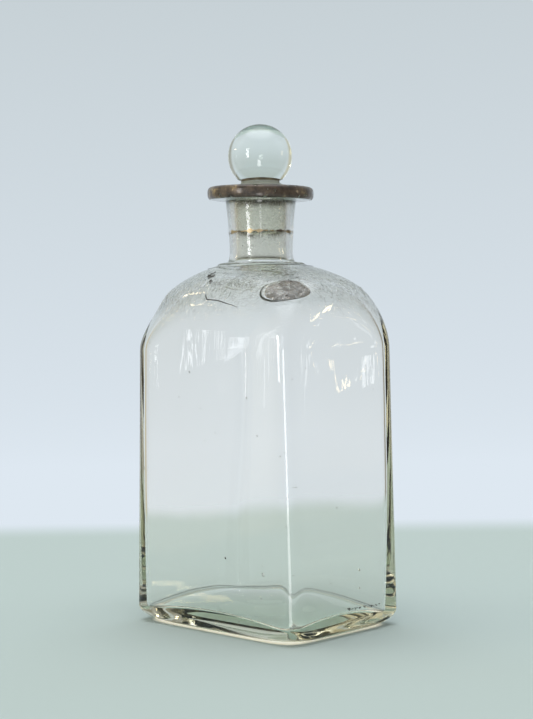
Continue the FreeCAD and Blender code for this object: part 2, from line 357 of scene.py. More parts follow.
def build_bottle():
    power = exponent(EDGE_RADIUS, 0.5 * (HALF_X + HALF_Y))
    theta = angles_for(HALF_X, HALF_Y, power, AROUND)
    outer, inner = outer_rows(), inner_rows()
    rows = outer + inner
    half_x, half_y, powers, heights, waves = (np.array(column)[:, None] for column in zip(*rows))
    rho = polar(theta[None, :], half_x, half_y, powers)
    x, y = rho * np.cos(theta)[None, :], rho * np.sin(theta)[None, :]
    z = np.broadcast_to(heights, x.shape).copy()
    inside = np.arange(len(rows))[:, None] >= len(outer)
    low = inside & (z < FLOOR_CORNER + DOME_FADE)
    z = np.where(low, z + floor_lift(x, y, z), z)
    points = np.stack([x, y, z], axis=-1)
    # Hand-blown glass: the outside and the inside wander separately.
    slow = np.where(inside, wobble(points, 0.50, 34.0, 3, 2.4), wobble(points, 0.36, 34.0, 1, 2.2))
    ripple = np.where(inside, wobble(points, 0.13, 26.0, 13, 1.0), 0.0)
    aside = UNEVEN_WALL * (1 - np.clip((z - HEEL) / (SHOULDER_START - HEEL), 0.0, 1.0)) ** 2
    for axis in (0, 1):
        points[..., axis] -= np.where(inside, aside * LEAN_WAY[axis], 0.0)
    quick = np.where(inside, wobble(points, 0.06, 11.0, 7, 3.0), wobble(points, 0.02, 12.0, 5, 3.0))
    points[..., :2] *= (1.0 + (slow + quick + ripple) * waves / np.maximum(rho, 6.0))[..., None]
    points = by_hand(points)
    vertices, faces = rings_to_mesh(points * MM)
    obj = make_object("bottle_glass", vertices, faces)
    # The ground seat in the neck, the worn base and the lip's top face have their own materials.
    seat_from = len(outer) + MOUTH_ROWS
    seat_to = seat_from + int(np.argmax(heights[seat_from:, 0] < GROUND_FOOT))
    slot_rows = ((seat_from, seat_to, 1), (0, BASE_ROWS, 2), (len(outer) - LIP_FACE_ROWS, seat_from, 3))
    slots = [0] * len(faces)
    for first, last, slot in slot_rows:
        slots[first * AROUND:last * AROUND] = [slot] * ((last - first) * AROUND)
    obj.data.polygons.foreach_set("material_index", slots)
    skin = [face for face in faces if max(face) < len(outer) * AROUND]
    meeting = points[len(rows) - MEETING_ROW, ::4].tolist()
    return obj, BVHTree.FromPolygons([Vector(v) for v in vertices], skin), meeting


# ---------------------------------------------------------------------------------------------
# Stopper
# ---------------------------------------------------------------------------------------------
def build_stopper():
    shank_top = LIP_TOP + 0.5

    def shank(z):
        return SEAT_TOP - SEAT_TAPER * (LIP_TOP - z) - STOPPER_GAP

    def on_ball(angle):
        return (BALL_RADIUS * math.cos(angle), BALL_CENTRE + BALL_RADIUS * math.sin(angle))

    rows = [(r, SHANK_TIP) for r in np.linspace(0.3, shank(SHANK_TIP) - 0.5, FOOT_ROWS + 1)]
    rows.append((shank(SHANK_TIP) - 0.15, SHANK_TIP + 0.15))
    rows += [(shank(z), z) for z in np.linspace(SHANK_TIP + 0.5, shank_top, 40)]
    neck = [(shank(shank_top), shank_top), (WAIST + 0.5, WAIST_HEIGHT - 1.2), (WAIST, WAIST_HEIGHT),
            on_ball(-BALL_DROP), on_ball(0.12 - BALL_DROP)]
    rows += [tuple(p) for p in resample(curve_through(neck)[:-12], 0.25)[1:]]
    frosted_rows = sum(z < WAIST_HEIGHT - 0.55 for _, z in rows)
    rows += [on_ball(angle) for angle in np.linspace(-BALL_DROP, math.pi / 2, 70)[1:-1]]
    theta = np.linspace(0.0, 2.0 * math.pi, STOPPER_AROUND, endpoint=False)
    radius, height = (np.array(column)[:, None] for column in zip(*rows))
    points = np.stack([radius * np.cos(theta), radius * np.sin(theta),
                       np.broadcast_to(height, (len(rows), STOPPER_AROUND))], axis=-1)
    vertices, faces = rings_to_mesh(points * MM)
    obj = make_object("stopper_glass", vertices, faces)
    ground = [FOOT_ROWS <= face[0] // STOPPER_AROUND < frosted_rows for face in faces]
    obj.data.polygons.foreach_set("material_index", [int(value) for value in ground])
    return obj


def build_stopper_band():
    """A brown line round the narrow place between the ball and the shank."""
    profile = [(7.50, -0.75), (7.47, -0.4), (7.45, 0.0), (7.50, 0.4), (7.62, 0.65)]
    points = np.array([[ring_point(r, WAIST_HEIGHT + up + 0.25, turn) for turn in turns(120)]
                       for r, up in profile])
    return make_object("stopper_band", *rings_to_mesh(points * MM, closed=False))


# ---------------------------------------------------------------------------------------------
# Marks in and on the glass. Places are on the bottle, in millimetres.
# ---------------------------------------------------------------------------------------------
def on_skin(tree, point, way):
    """Where a line through a point, along way, meets the outside of the glass, and the normal there."""
    way = Vector(way).normalized()
    place, normal, _, _ = tree.ray_cast(Vector(point) * MM + way * 20 * MM, -way)
    return place / MM, normal


def tube(points, radii, sides=6):
    """Vertices and faces of a thin tube along points, closed at both ends."""
    vertices = []
    points = [Vector(p) for p in points]
    for k, point in enumerate(points):
        ahead = (points[min(k + 1, len(points) - 1)] - points[max(k - 1, 0)]).normalized()
        side = ahead.cross(Vector((0.31, 0.17, 0.93))).normalized()
        up = ahead.cross(side)
        for angle in turns(sides):
            vertices.append((point + (side * math.cos(angle) + up * math.sin(angle)) * radii[k]) * MM)
    ends = [tuple(reversed(range(sides))), tuple(range((len(points) - 1) * sides, len(points) * sides))]
    return vertices, ring_faces(len(points), sides) + ends


def tapered(radius, count):
    """Radii for a tube that is thick in its middle and thin at its ends."""
    return [radius * (0.25 + 0.75 * math.sin(math.pi * k / (count - 1))) for k in range(count)]


def join_parts(name, parts):
    """One object from (vertices, faces) parts."""
    vertices, faces = [], []
    for part_vertices, part_faces in parts:
        first = len(vertices)
        vertices += [tuple(v) for v in part_vertices]
        faces += [tuple(first + k for k in face) for face in part_faces]
    return make_object(name, vertices, faces)


def pebble(centre, sizes, squash_way, roughness, rng, inside_out=False):
    """A small lumpy ball, flattened along squash_way. Inside out it is a bubble in the glass."""
    way = Vector(squash_way).normalized()
    side = way.orthogonal().normalized()
    other = way.cross(side)
    rows, around = 7, 10
    seed = Vector((rng.random(), rng.random(), rng.random())) * 50
    vertices = []
    for level in range(1, rows):
        rise = math.pi * level / rows
        for turn in turns(around):
            unit = (way * math.cos(rise) * sizes[2] + side * math.sin(rise) * math.cos(turn) * sizes[0]
                    + other * math.sin(rise) * math.sin(turn) * sizes[1])
            lump = 1 + roughness * noise.noise(unit * 2.5 / sizes[0] + seed)
            vertices.append((Vector(centre) + unit * lump) * MM)
    vertices.append((Vector(centre) + way * sizes[2]) * MM)
    vertices.append((Vector(centre) - way * sizes[2]) * MM)
    faces = []
    for level in range(rows - 2):
        for k in range(around):
            after = (k + 1) % around
            faces.append((level * around + k, (level + 1) * around + k,
                          (level + 1) * around + after, level * around + after))
    top, bottom = len(vertices) - 2, len(vertices) - 1
    last = (rows - 2) * around
    for k in range(around):
        after = (k + 1) % around
        faces.append((top, k, after))
        faces.append((bottom, last + after, last + k))
    if inside_out:
        faces = [tuple(reversed(face)) for face in faces]
    return vertices, faces


BLISTER = ((32.5, -21.9, 128.0), (0.48, -0.60, 0.65), 8.8, 5.4, 0.55)   # place, way out, half sizes
BLISTER_DEPTH = 1.3
STAIN_RINGS = 13                 # of the bubble's 16 rings
BLISTER_RIMS = ((2.3, 6.9, 1.0, 0.20), (2.6, 4.9, 0.95, 0.26), (0.4, 1.9, 0.98, 0.12))


def build_blister(tree):
    """A flat bubble trapped in the thickness of the shoulder, with the stain that lies over it."""
    centre, way, long_half, short_half, deep = BLISTER
    way = Vector(way).normalized()
    across = Vector((*LEAN_WAY, 0.0))
    across = (across - way * across.dot(way)).normalized()
    upward = way.cross(across)
    rings, around = 16, 72

    def over(turn, share):
        """Place on the skin over a point of the bubble, share of the way out to its edge, and the normal."""
        reach = share * (1 + 0.10 * noise.noise(Vector((math.cos(turn) * 1.3, math.sin(turn) * 1.3, 4.0))))
        flat = (Vector(centre) + across * (math.cos(turn) * long_half * reach)
                + upward * (math.sin(turn) * short_half * reach))
        return on_skin(tree, flat, way)

    def disc(start, flip, count=rings):
        faces = ring_faces(count, around, start) + [tuple(reversed(range(start, start + around)))]
        return [tuple(reversed(face)) for face in faces] if flip else faces

    top, bottom, stained = [], [], []
    for ring in range(1, rings + 1):
        share = math.sin(0.5 * math.pi * ring / rings)
        half = deep * math.sqrt(max(0.0, 1 - share * share))
        for turn in turns(around):
            place, normal = over(turn, share)
            top.append((place - normal * (BLISTER_DEPTH - half)) * MM)
            bottom.append((place - normal * (BLISTER_DEPTH + half)) * MM)
            stained.append((place - normal * (BLISTER_DEPTH - 0.04 - half) + across * 1.3) * MM)
    # Painted shade: dark lines along the bubble's outline.
    rims = []
    for low, high, share, thick in BLISTER_RIMS:
        spots = [over(turn, share) for turn in np.linspace(low, high, 40)]
        line = [place - normal * (1.25 - 9.2 * (1 - share)) for place, normal in spots]
        rims.append(tube(line, tapered(thick, 40)))
    rim = join_parts("blister_rim", rims)
    void = make_object("shoulder_blister", top + bottom, disc(0, False) + disc(len(top), True))
    sheet = make_object("blister_stain", stained, disc(0, True, STAIN_RINGS))
    return void, sheet, rim


HAIRLINE = [(-1.6, -29.0, 127.4), (-1.0, -29.3, 126.6), (-0.2, -29.5, 125.4), (1.8, -29.6, 125.2),
            (4.7, -29.6, 124.9), (7.4, -29.6, 124.4), (10.1, -29.6, 123.6), (13.4, -29.6, 122.8),
            (16.4, -29.6, 121.9)]
HAIRLINE_RADII = [0.10, 0.20, 0.26, 0.20, 0.19, 0.21, 0.19, 0.14, 0.07]
DARK_MARKS = [(-2.6, -25.8, 133.5), (-1.6, -24.4, 134.7), (0.0, -26.9, 132.2), (-3.6, -24.8, 134.4)]
SEEDS = [((43.0, 6.7, 23.7), 0.45), ((43.1, 6.5, 17.0), 0.40), ((28.8, -30.8, 25.0), 0.55),
         ((-10.1, -30.2, 98.0), 0.35), ((21.5, -30.1, 88.6), 0.32), ((-37.8, -29.9, 60.1), 0.45)]


def away(point):
    """Level direction from the axis through a point, steered to the nearer face."""
    x, y = point[0] / HALF_X, point[1] / HALF_Y
    return Vector((abs(x) ** 6 * math.copysign(1, x), abs(y) ** 6 * math.copysign(1, y), 0.05)).normalized()


def curl(tree, rng, place, way, size, radius):
    """A short curved scratch on the glass round a place."""
    side = Vector(way).normalized().orthogonal().normalized()
    other = Vector(way).normalized().cross(side)
    start, sweep = rng.uniform(0, 2 * math.pi), rng.uniform(1.6, 4.6)
    squash = rng.uniform(0.35, 1.0)
    points = []
    for k in range(12):
        angle = start + sweep * k / 11
        flat = Vector(place) + side * size * math.cos(angle) + other * size * squash * math.sin(angle)
        points.append(on_skin(tree, flat, way)[0])
    return tube(points, tapered(radius, 12), 5)


OUTER_CREASE = 20.4              # radius of the second crease round the collar


def build_floor_line(meeting):
    """Painted shade: a fine dark line in the angle where the inside walls meet the floor."""
    line = [Vector(p) for p in meeting + meeting[:1]]
    line = [Vector((p.x * 0.997, p.y * 0.997, p.z + 0.05)) for p in line]
    radii = [0.05 + 0.13 * max(0.0, 0.5 + noise.noise(p * 0.07 + Vector((2, 9, 4)))) for p in line]
    return join_parts("floor_line", [tube(line, radii)])


def build_crease(tree):
    """Painted shade: dark lines in the creases where the neck was set on the shoulder."""
    near, out, near_radii, out_radii = [], [], [], []
    for turn in [*turns(180), 2 * math.pi]:
        place = Vector((math.cos(turn) * 2, math.sin(turn) * 2, 1.0))
        r = COLLAR - 0.15 + 0.35 * noise.noise(place * 1.3)
        spot = np.array([[ring_point(r, SHOULDER_TOP, turn)]])
        near.append(Vector(by_hand(spot)[0, 0]))
        near_radii.append(0.07 + 0.13 * max(0.0, 0.4 + noise.noise(place * 1.1 + Vector((3, 1, 7)))))
        wide = OUTER_CREASE + 0.9 * noise.noise(place * 1.1 + Vector((6, 2, 5)))
        foot = Vector(ring_point(wide, SHOULDER_TOP - 1.0, turn))
        out.append(on_skin(tree, foot, (math.cos(turn) * 0.5, math.sin(turn) * 0.5, 0.85))[0])
        out_radii.append(0.04 + 0.16 * max(0.0, 0.45 + noise.noise(place * 0.9 + Vector((1, 8, 3)))))
    return join_parts("collar_crease", [tube(near, near_radii), tube(out, out_radii)])


def build_marks(tree):
    rng = random.Random(11)
    line = [on_skin(tree, p, (0.05, -1.0, 0.25))[0] for p in HAIRLINE]
    parts = [tube(line, HAIRLINE_RADII)]
    for place in DARK_MARKS:
        for _ in range(5):
            stray = Vector((rng.uniform(-1.2, 1.2), rng.uniform(-0.5, 0.5), rng.uniform(-1, 1)))
            parts.append(curl(tree, rng, Vector(place) + stray, (-0.1, -0.7, 0.7), rng.uniform(0.25, 0.85),
                              0.21))
    marks = join_parts("dark_marks", parts)
    # Fine curly wear, thickest on the shoulder.
    parts = []
    for _ in range(360):
        turn = rng.uniform(0, 2 * math.pi)
        x, y = math.cos(turn), math.sin(turn)
        out = float(polar(np.array([turn]), HALF_X, HALF_Y, 5.0)[0]) * rng.uniform(0.76, 0.98)
        way = Vector((x * 0.55, y * 0.55, 0.8))
        parts.append(curl(tree, rng, (x * out, y * out, 128.0), way, rng.uniform(0.5, 2.1),
                          rng.uniform(0.03, 0.09)))
    wear = join_parts("shoulder_wear", parts)
    # Seeds, the small bubbles of hand-blown glass.
    parts = []
    for place, size in SEEDS:
        way = away(place)
        hit, normal = on_skin(tree, place, way)
        parts.append(pebble(hit - normal * 1.5, (size, size * 1.5, size * 0.7), normal, 0.1, rng, True))
    for _ in range(60):
        turn, height = rng.uniform(0, 2 * math.pi), rng.uniform(9.0, 118.0)
        way = Vector((math.cos(turn), math.sin(turn), 0.0))
        hit, normal = on_skin(tree, way * 20 + Vector((0, 0, height)), way)
        size = 0.08 + 0.17 * rng.random() ** 3
        place = hit - normal * rng.uniform(0.8, 2.2)
        parts.append(pebble(place, (size, size * rng.uniform(1, 2), size * 0.8), normal, 0.0, rng, True))
    seeds = join_parts("seeds", parts)
    # Dark grains left where the inside wall meets the floor.
    parts = []
    for _ in range(46):
        along = rng.uniform(0.0, 1.0)
        place = (38.0 + rng.gauss(0, 0.25), 2.0 + 18.5 * along, 9.3 + rng.gauss(0, 0.2) - along * 0.6)
        size = rng.uniform(0.10, 0.30)
        parts.append(pebble(place, (size, size * rng.uniform(1, 2.4), size), (0, 0, 1), 0.7, rng))
    place = on_skin(tree, (10.1, -30.8, 29.3), (0, -1, 0))[0]
    parts.append(pebble(place, (0.3, 0.5, 0.15), (0, -1, 0), 0.4, rng))
    grains = join_parts("residue", parts)
    return marks, wear, seeds, grains


# ---------------------------------------------------------------------------------------------
# Worn gilding
# ---------------------------------------------------------------------------------------------
def build_lip_film():
    """The gilded film over the rim and the outer part of the lip's top, broken where it has worn off."""
    profile = [(r, z) for r, z in rim_profile(0.9 * FILM) if z > LIP_BOTTOM + 0.08]
    profile += [(r, LIP_TOP + 0.9 * FILM) for r in np.linspace(RIM_MIDDLE - 0.4, LIP_RADIUS - 4.4, 9)]
    count = 420
    points = np.array([[ring_point(r, z, turn) for turn in turns(count)] for r, z in profile])
    swell = 1.0 + wobble(points, 0.05, 6.0, 9) / LIP_RADIUS
    points[..., :2] *= swell[..., None]
    vertices = (by_hand(points) * MM).reshape(-1, 3).tolist()
    faces = []
    levels = len(profile)
    for level in range(levels - 1):
        edge = min(1.0, min(level, levels - 2 - level) / 3.0)
        for k in range(count):
            spot = Vector(points[level, k])
            worn = 0.5 + 0.9 * noise.noise(spot / 1.7) + 0.5 * noise.noise(spot / 0.6 + Vector((9, 4, 1)))
            if worn > 1.04 - (0.10 if level < levels / 2 else 0.42) * (1 - edge):
                continue
            after = (k + 1) % count
            base = level * count
            faces.append((base + k, base + after, base + count + after, base + count + k))
    return make_object("lip_film", vertices, faces)


def build_neck_film():
    """The gilded line round the neck: blotches, a thin thread between them, and gaps."""
    count = 360
    across = 5
    points, faces = [], []
    for k, turn in enumerate(turns(count)):
        place = Vector((math.cos(turn) * 2.2, math.sin(turn) * 2.2, 3.0))
        blotch = max(0.0, noise.noise(place * 2.4) * 2.2)
        half = 0.22 + 0.62 * min(1.0, blotch) + 0.12 * noise.noise(place * 9)
        middle = LINE_HEIGHT + 0.22 * noise.noise(place * 3 + Vector((5, 5, 5)))
        for z in [middle + half * (2 * j / (across - 1) - 1) for j in range(across)]:
            points.append(ring_point(neck_radius(z) + 0.8 * FILM, z, turn))
        if noise.noise(Vector((math.cos(turn) * 7.0, math.sin(turn) * 7.0, 8.0))) > 0.34:
            continue
        after = (k + 1) % count
        for j in range(across - 1):
            faces.append((k * across + j, after * across + j, after * across + j + 1, k * across + j + 1))
    return make_object("neck_film", (by_hand(np.array(points)) * MM).tolist(), faces)


def neck_radius(z):
    """Outside radius of the neck near the gilded line."""
    return 12.5 + 0.3 * (z - LINE_HEIGHT) / 4.6


# ---------------------------------------------------------------------------------------------
# Materials
# ---------------------------------------------------------------------------------------------
CLEAR = (1.0, 1.0, 1.0)
GLASS_IOR = 1.5
TINT = (0.83, 0.82, 0.71, 1)
TINT_DENSITY = 28.0
GROUND_TINT = (1.0, 1.0, 0.95, 1)
GROUND_WHITE = (0.95, 0.98, 0.93, 1)
GROUND_GREEN = (0.42, 0.52, 0.46, 1)
WORN_WHITE = (0.82, 0.985, 0.96, 1)
# Painted shade: the darker green that the top of the stopper's ball is given.
PAINTED_CROWN_SHADE = (0.20, 0.27, 0.25)
SHADED_CROWN_DEPTHS = (3.7, 2.9)        # below the top of the ball, where its painted shade, a darker green, starts and is full
WEAR_RISE = (0.124, 0.137)       # heights in metres over which the curly rubbing comes in
WEAR_END = (0.1345, 0.1380)      # and goes out again
GRINDING_FADE = 0.009            # height over which the grinding in the neck gives out
PATCHES = (0.35, 0.65)           # span of the noise between the two colours of dull matter


def add(tree, kind, **values):
    """A node. A value is set on the node, or on its input of that name; an output is linked to it."""
    node = tree.nodes.new(kind)
    for key, value in values.items():
        if hasattr(node, key):
            setattr(node, key, value)
        elif isinstance(value, bpy.types.NodeSocket):
            tree.links.new(value, node.inputs[key.replace("_", " ")])
        else:
            node.inputs[key.replace("_", " ")].default_value = value
    return node


def new_material(name):
    material = bpy.data.materials.new(name)
    material.use_nodes = True
    tree = material.node_tree
    tree.nodes.clear()
    return material, tree


def finish_material(tree, surface, volume=None):
    output = add(tree, "ShaderNodeOutputMaterial", Surface=surface.outputs[0])
    if volume:
        tree.links.new(volume.outputs[0], output.inputs["Volume"])


def object_place(tree):
    return add(tree, "ShaderNodeTexCoord").outputs["Object"]


def split_xyz(tree, source):
    return add(tree, "ShaderNodeSeparateXYZ", Vector=source).outputs


def noise_of(tree, place, scale, detail, **values):
    """Value of a noise texture at a place."""
    return add(tree, "ShaderNodeTexNoise", Vector=place, Scale=scale, Detail=detail, **values).outputs["Fac"]


def span(tree, source, low, high, to_low, to_high, **values):
    """Maps a source from one span to another."""
    return add(tree, "ShaderNodeMapRange", Value=source, From_Min=low, From_Max=high, To_Min=to_low,
               To_Max=to_high, **values).outputs["Result"]


def math_node(tree, operation, *sources):
    """Result of a sum on sources, each a number or a node's output."""
    node = add(tree, "ShaderNodeMath", operation=operation)
    for slot, source in zip(node.inputs, sources):
        if isinstance(source, (int, float)):
            slot.default_value = source
        else:
            tree.links.new(source, slot)
    return node.outputs[0]


def ramp_of(tree, source, stops):
    """Colour of a ramp of (position, colour) stops, read by a source."""
    node = add(tree, "ShaderNodeValToRGB", Fac=source)
    elements = node.color_ramp.elements
    while len(elements) > 1:
        elements.remove(elements[-1])
    first, *others = stops
    elements[0].position = first[0]
    elements[0].color = (*first[1], 1.0)
    for position, color in others:
        elements.new(position).color = (*color, 1.0)
    return node.outputs["Color"]


def mix_shaders(tree, share, first, second):
    node = add(tree, "ShaderNodeMixShader")
    sources = (share, first.outputs[0], second.outputs[0])
    for slot, source in zip(node.inputs, sources):
        if isinstance(source, float):
            slot.default_value = source
        else:
            tree.links.new(source, slot)
    return node


def mix_colors(tree, share, first, second):
    """Colour between two colours, each a constant or a node's output."""
    node = add(tree, "ShaderNodeMix", data_type="RGBA")
    for index, source in ((0, share), (6, first), (7, second)):
        if isinstance(source, tuple):
            node.inputs[index].default_value = source
        else:
            tree.links.new(source, node.inputs[index])
    return node.outputs[2]


def glass_material(name, tint, density, haze, bump, worn=False, shaded_crown=None):
    """Clear glass, drawn out upwards. shaded_crown is two heights between which painted shade turns it a
    darker green.
    """
    material, tree = new_material(name)
    place = object_place(tree)
    shader = add(tree, "ShaderNodeBsdfPrincipled", Base_Color=(*CLEAR, 1), IOR=GLASS_IOR,
                 Transmission_Weight=1.0)
    drawn = add(tree, "ShaderNodeMapping", Vector=place, Scale=(1.0, 1.0, 0.14))
    wave = noise_of(tree, drawn.outputs["Vector"], 150.0, 3.0)
    normal = add(tree, "ShaderNodeBump", Strength=bump, Distance=0.001, Height=wave).outputs["Normal"]
    rough = span(tree, noise_of(tree, place, 260.0, 4.0), 0.55, 0.75, 0.0, haze)
    # Painted shade: the ball's glass is darkened towards its top.
    if shaded_crown:
        share = span(tree, split_xyz(tree, place)["Z"], *shaded_crown, 0.0, 1.0)
        tree.links.new(ramp_of(tree, share, [(0.0, CLEAR), (1.0, PAINTED_CROWN_SHADE)]),
                       shader.inputs["Base Color"])
    if worn:
        # Curly rubbing on the shoulder: thin lines along the level curves of a bent noise.
        height = split_xyz(tree, place)["Z"]
        level = math_node(tree, "MULTIPLY_ADD", noise_of(tree, place, 55.0, 2.0), 0.016, height)
        high = math_node(tree, "MULTIPLY", span(tree, level, *WEAR_RISE, 0.0, 1.0),
                         span(tree, height, *WEAR_END, 1.0, 0.0))
        curly = noise_of(tree, place, 230.0, 1.5, Distortion=1.6)
        size = math_node(tree, "ABSOLUTE", math_node(tree, "SUBTRACT", curly, 0.5))
        rubbed = math_node(tree, "MULTIPLY", span(tree, size, 0.0, 0.035, 1.0, 0.0), high)
        rough = math_node(tree, "MULTIPLY_ADD", rubbed, 0.22, rough)
        rough = math_node(tree, "MULTIPLY_ADD", high, 0.04, rough)
        normal = add(tree, "ShaderNodeBump", Strength=0.30, Distance=0.0002, Height=rubbed,
                     Normal=normal).outputs["Normal"]
    tree.links.new(normal, shader.inputs["Normal"])
    tree.links.new(rough, shader.inputs["Roughness"])
    volume = add(tree, "ShaderNodeVolumeAbsorption", Color=tint, Density=density) if density else None
    finish_material(tree, shader, volume)
    return material


def ground_material(name, tint, density, low, high, cloud, white, foot=None, top=None):
    """Ground glass, cloud of it scattering. Smoother towards the height foot, cloudier from top up."""
    material, tree = new_material(name)
    place = object_place(tree)
    rough = span(tree, noise_of(tree, place, 900.0, 3.0), 0.3, 0.7, low, high)
    if foot:
        fade = span(tree, split_xyz(tree, place)["Z"], foot, foot + GRINDING_FADE, 0.75, 1.0)
        rough = math_node(tree, "MULTIPLY", rough, fade)
    shader = add(tree, "ShaderNodeBsdfPrincipled", Base_Color=GROUND_TINT, IOR=GLASS_IOR,
                 Transmission_Weight=1.0, Roughness=rough)
    scatter = mix_shaders(tree, 0.5, add(tree, "ShaderNodeBsdfDiffuse", Color=white),
                          add(tree, "ShaderNodeBsdfTranslucent", Color=white))
    if top:
        cloud = span(tree, split_xyz(tree, place)["Z"], top - 0.0006, top, cloud, 0.75)
    finish_material(tree, mix_shaders(tree, cloud, shader, scatter),
                    add(tree, "ShaderNodeVolumeAbsorption", Color=tint, Density=density))
    return material


def dull_material(name, dark, light, scale, clear=0.0):
    """Rough, patchy matter between two colours; clear lets some of the light through."""
    material, tree = new_material(name)
    patch = noise_of(tree, object_place(tree), scale, 4.0)
    shader = add(tree, "ShaderNodeBsdfPrincipled", Roughness=0.6,
                 Base_Color=ramp_of(tree, patch, zip(PATCHES, (dark, light))))
    if clear:
        tree.links.new(span(tree, patch, *PATCHES, 1.0 - clear, 0.6 * (1.0 - clear)),
                       shader.inputs["Alpha"])
    finish_material(tree, shader)
    return material


def gilding_material(name, shift):
    """Fired gold worn to dull brown; the dark brown is also painted shade, standing in for gold that reflects
    the dark room. shift moves the balance from brown (0) towards gold.
    """
    material, tree = new_material(name)
    patch = noise_of(tree, object_place(tree), 240.0, 6.0, Roughness=0.7)
    color = ramp_of(tree, patch, [
        (0.36, (0.030, 0.020, 0.014)), (0.46, (0.072, 0.048, 0.035)),
        (0.58 - shift, (0.14, 0.105, 0.075)), (0.70 - shift, (0.46, 0.36, 0.21))])
    relief = add(tree, "ShaderNodeBump", Strength=0.35, Distance=0.0003, Height=patch)
    shader = add(tree, "ShaderNodeBsdfPrincipled", Base_Color=color, Coat_Weight=0.35, Coat_Roughness=0.10,
                 Metallic=span(tree, patch, 0.45, 0.8 - shift, 0.15, 0.95),
                 Roughness=span(tree, patch, 0.3, 0.8, 0.50, 0.30), Normal=relief.outputs["Normal"])
    finish_material(tree, shader)
    return material


# ---------------------------------------------------------------------------------------------
# Studio: floor, backdrop light and camera
# ---------------------------------------------------------------------------------------------
VIEW_AZIMUTH = math.radians(44.7)      # the camera stands this far round from -Y towards +X
VIEW_DISTANCE = 0.543
EYE_HEIGHT = 0.106
VIEW_PITCH = math.radians(0.39)
VIEW_YAW = math.radians(0.16)
VIEW_ROLL = math.radians(0.73)
LENS = 69.7                            # on a 36 mm sensor along the picture's height
WINDOW_HEIGHT = 0.09                   # window bearings and elevations are taken from here
PANE_HALVES = (0.44, 0.46)             # half sizes of a bright pane against its share of the window
BACKDROP_TURN = (0.60, 0.75)           # the backdrop starts and is full at these shares of looking ahead
CEILING = (0.78, 0.96)
WALL_RISE = (-0.12, 0.60)


def build_camera():
    data = bpy.data.cameras.new("camera")
    data.lens = LENS
    data.sensor_width = 36.0
    data.sensor_fit = "AUTO"
    data.clip_start = 0.01
    data.clip_end = 50.0
    camera = bpy.data.objects.new("camera", data)
    bpy.context.scene.collection.objects.link(camera)
    back = Vector((math.sin(VIEW_AZIMUTH), -math.cos(VIEW_AZIMUTH), 0.0))
    level = Vector((math.cos(VIEW_AZIMUTH), math.sin(VIEW_AZIMUTH), 0.0))
    ahead = (-back * math.cos(VIEW_YAW) + level * math.sin(VIEW_YAW)).normalized()
    ahead = (ahead * math.cos(VIEW_PITCH) - Vector((0, 0, 1)) * math.sin(VIEW_PITCH)).normalized()
    right = ahead.cross(Vector((0, 0, 1))).normalized()
    up = right.cross(ahead)
    rolled_right = right * math.cos(VIEW_ROLL) - up * math.sin(VIEW_ROLL)
    rolled_up = right * math.sin(VIEW_ROLL) + up * math.cos(VIEW_ROLL)
    turn = Matrix((rolled_right, rolled_up, -ahead)).transposed().to_4x4()
    camera.matrix_world = Matrix.Translation(back * VIEW_DISTANCE + Vector((0, 0, EYE_HEIGHT))) @ turn
    bpy.context.scene.camera = camera


def linear(red, green, blue):
    """Linear colour from 0-255 display values."""
    shares = [value / 255.0 for value in (red, green, blue)]
    return tuple(v / 12.92 if v <= 0.04045 else ((v + 0.055) / 1.055) ** 2.4 for v in shares)


FLOOR_SIZE = 12.0
FLOOR_COLOR = (0.515, 0.610, 0.600, 1.0)
TABLE_EDGE = (0.250, 0.328)             # the table's edge fades out between these reaches
TABLE_POWER = 6.0
GATHERED_LIGHT = (0.92, 0.82, 0.62)     # painted light, warm where it comes out round the rim of the base
GATHERED_MIDDLE = (0.88, 0.97, 0.92)
GATHERED_STRENGTH = 0.68
POOL_POWER = 8.0                        # how square the pool of gathered light is
POOL_SHARE = 0.97                       # its size against the base
WALL_LOW_COLOR = linear(222, 232, 241)
WALL_LEVEL = linear(214, 224, 232)
WALL_HIGH_COLOR = linear(199, 209, 214)
WALL_TOP_COLOR = (0.52, 0.58, 0.58)
OVERHEAD_LIGHT = (2.55, 2.58, 2.60, 1)
PALE, DIM, SIDE = (0.50, 0.50, 0.49), (0.38, 0.36, 0.31), (0.62, 0.62, 0.60)
OLIVE, SKY = (0.40, 0.38, 0.30), (0.70, 0.78, 0.86)
LEFT_LEVEL, RIGHT_LEVEL = (1.42, 1.37, 1.20), (0.74, 0.74, 0.74)


def turned(tree, source):
    """A level place or direction turned so that Y points the way the camera looks."""
    node = add(tree, "ShaderNodeVectorRotate", rotation_type="Z_AXIS", Vector=source, Angle=-VIEW_AZIMUTH)
    return split_xyz(tree, node.outputs[0])


def power_sum(tree, shares, power):
    terms = [math_node(tree, "POWER", math_node(tree, "ABSOLUTE", share), power) for share in shares]
    return math_node(tree, "ADD", *terms)


def room_colors(tree, split):
    """The room round the horizon: 0 behind the camera, then its left, the backdrop at 0.5, its right."""
    bearing = math_node(tree, "ARCTAN2", split["X"], split["Y"])
    half = [(0.0, PALE), (0.05, PALE), (0.11, DIM), (0.18, DIM), (0.235, SIDE), (0.27, SIDE),
            (0.29, OLIVE), (0.335, OLIVE), (0.365, SKY), (0.5, SKY)]

    def lit(color, levels):
        even = color in (SKY, PALE)
        return color if even else tuple(share * level for share, level in zip(color, levels))

    left = [(place, lit(color, LEFT_LEVEL)) for place, color in half]
    right = [(1.0 - place, lit(color, RIGHT_LEVEL)) for place, color in half[-2::-1]]
    return ramp_of(tree, span(tree, bearing, -math.pi, math.pi, 0.0, 1.0), left + right)


def backdrop_share(tree, split, reach):
    """1 towards the backdrop, 0 towards the room, by the share of a vector that points ahead."""
    return span(tree, math_node(tree, "DIVIDE", split["Y"], reach), *BACKDROP_TURN, 0.0, 1.0)


